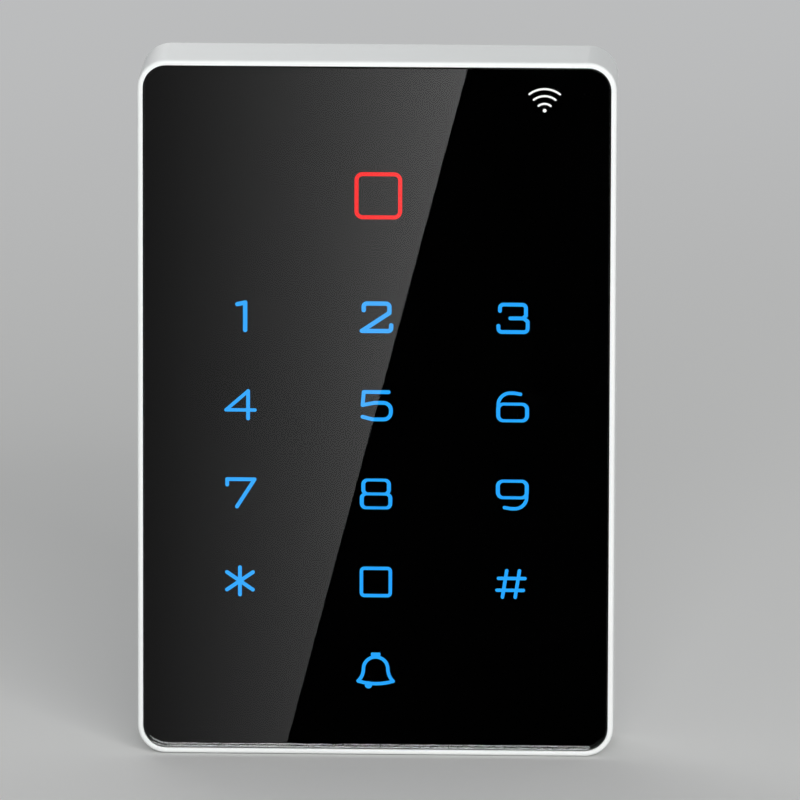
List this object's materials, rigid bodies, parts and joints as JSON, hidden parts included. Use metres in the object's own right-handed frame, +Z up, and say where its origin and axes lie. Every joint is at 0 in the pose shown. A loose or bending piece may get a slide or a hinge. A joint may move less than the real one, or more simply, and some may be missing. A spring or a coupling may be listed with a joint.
{
  "type": "keypad access reader",
  "caption": "Wall-mounted touch keypad and card reader with a glass panel, lit keys, card target ring and a hook-on steel wall plate.",
  "frame": {"origin": "centre of the wall plate's rear face, on the wall", "axes": "+X to the right seen from the front, +Y into the wall, +Z up; the glass faces -Y"},
  "size_m": [0.08, 0.02, 0.118],
  "materials": {
    "case_plastic": "satin white moulded plastic, fine texture on the sides",
    "cover_plastic": "matte light grey moulded plastic",
    "panel_glass": "clear tempered glass, polished edge",
    "print_black": "black ink on the back of the glass",
    "legend_blue": "translucent blue, lit from behind",
    "ring_red": "translucent red, lit from behind",
    "icon_white": "translucent white, lit from behind",
    "tape_black": "black foam tape",
    "foam_black": "closed-cell black foam",
    "board_green": "green solder mask over copper tracks",
    "led_body": "white LED package with a clear lens",
    "spring_steel": "plain spring wire",
    "chip_black": "moulded epoxy with tinned leads",
    "copper_wire": "enamelled copper wire",
    "connector_white": "natural nylon",
    "screw_steel": "nickel-plated steel",
    "can_steel": "tinned steel can",
    "relay_plastic": "dark blue moulded case",
    "capacitor_can": "bare aluminium can on a black base",
    "ferrite": "grey-black ferrite",
    "pin_tin": "tinned pins",
    "sensor_ceramic": "clear-coated light-dependent resistor",
    "window_clear": "clear polycarbonate",
    "gasket_rubber": "black silicone rubber",
    "plate_steel": "zinc-plated stamped sheet steel",
    "security_steel": "stainless steel"
  },
  "bodies": {
    "wall_plate": {"wall_plate": "plate_steel", "flange_nut": "security_steel"},
    "reader": {"front_frame": "case_plastic", "front_panel": "panel_glass", "panel_print": "print_black", "key_legends": "legend_blue", "status_ring": "ring_red", "wireless_icon": "icon_white", "panel_adhesive": "tape_black", "light_baffle": "foam_black", "touch_board": "board_green", "touch_springs": "spring_steel", "key_leds": "led_body", "status_leds": "led_body", "wireless_led": "led_body", "touch_chip": "chip_black", "antenna_coil": "copper_wire", "board_connector": "connector_white", "board_spacers": "connector_white", "board_screws": "screw_steel", "main_board": "board_green", "microcontroller": "chip_black", "reader_chip": "chip_black", "wifi_module": "board_green", "wifi_shield": "can_steel", "relay": "relay_plastic", "buzzer": "chip_black", "capacitors": "capacitor_can", "regulator": "chip_black", "inductor": "ferrite", "diodes": "chip_black", "crystal": "can_steel", "wire_header": "connector_white", "header_pins": "pin_tin", "light_sensor": "sensor_ceramic", "rear_cover": "cover_plastic", "case_screws": "screw_steel", "case_gasket": "gasket_rubber", "sensor_window": "window_clear", "cable_grommet": "gasket_rubber"},
    "screw_washer": {"screw_washer": "security_steel"},
    "security_screw": {"security_screw": "security_steel"}
  },
  "joints": [
    {"name": "reader_swing", "type": "hinge", "parent": "wall_plate", "child": "reader", "pos_m": [0, -0.0005, 0.059], "axis": [-1, 0, 0], "range_deg": [0, 20]},
    {"name": "screw_advance", "type": "slide", "parent": "wall_plate", "child": "screw_washer", "axis": [0, 0, -1], "range_m": [0, 0.003]},
    {"name": "screw_turn", "type": "hinge", "parent": "screw_washer", "child": "security_screw", "pos_m": [0, -0.005, -0.055], "axis": [0, 0, -1], "range_deg": [0, 2161]}
  ],
  "couplings": [
    {"joint": "screw_turn", "follows": "screw_advance", "rad_per_m": 12566}
  ]
}
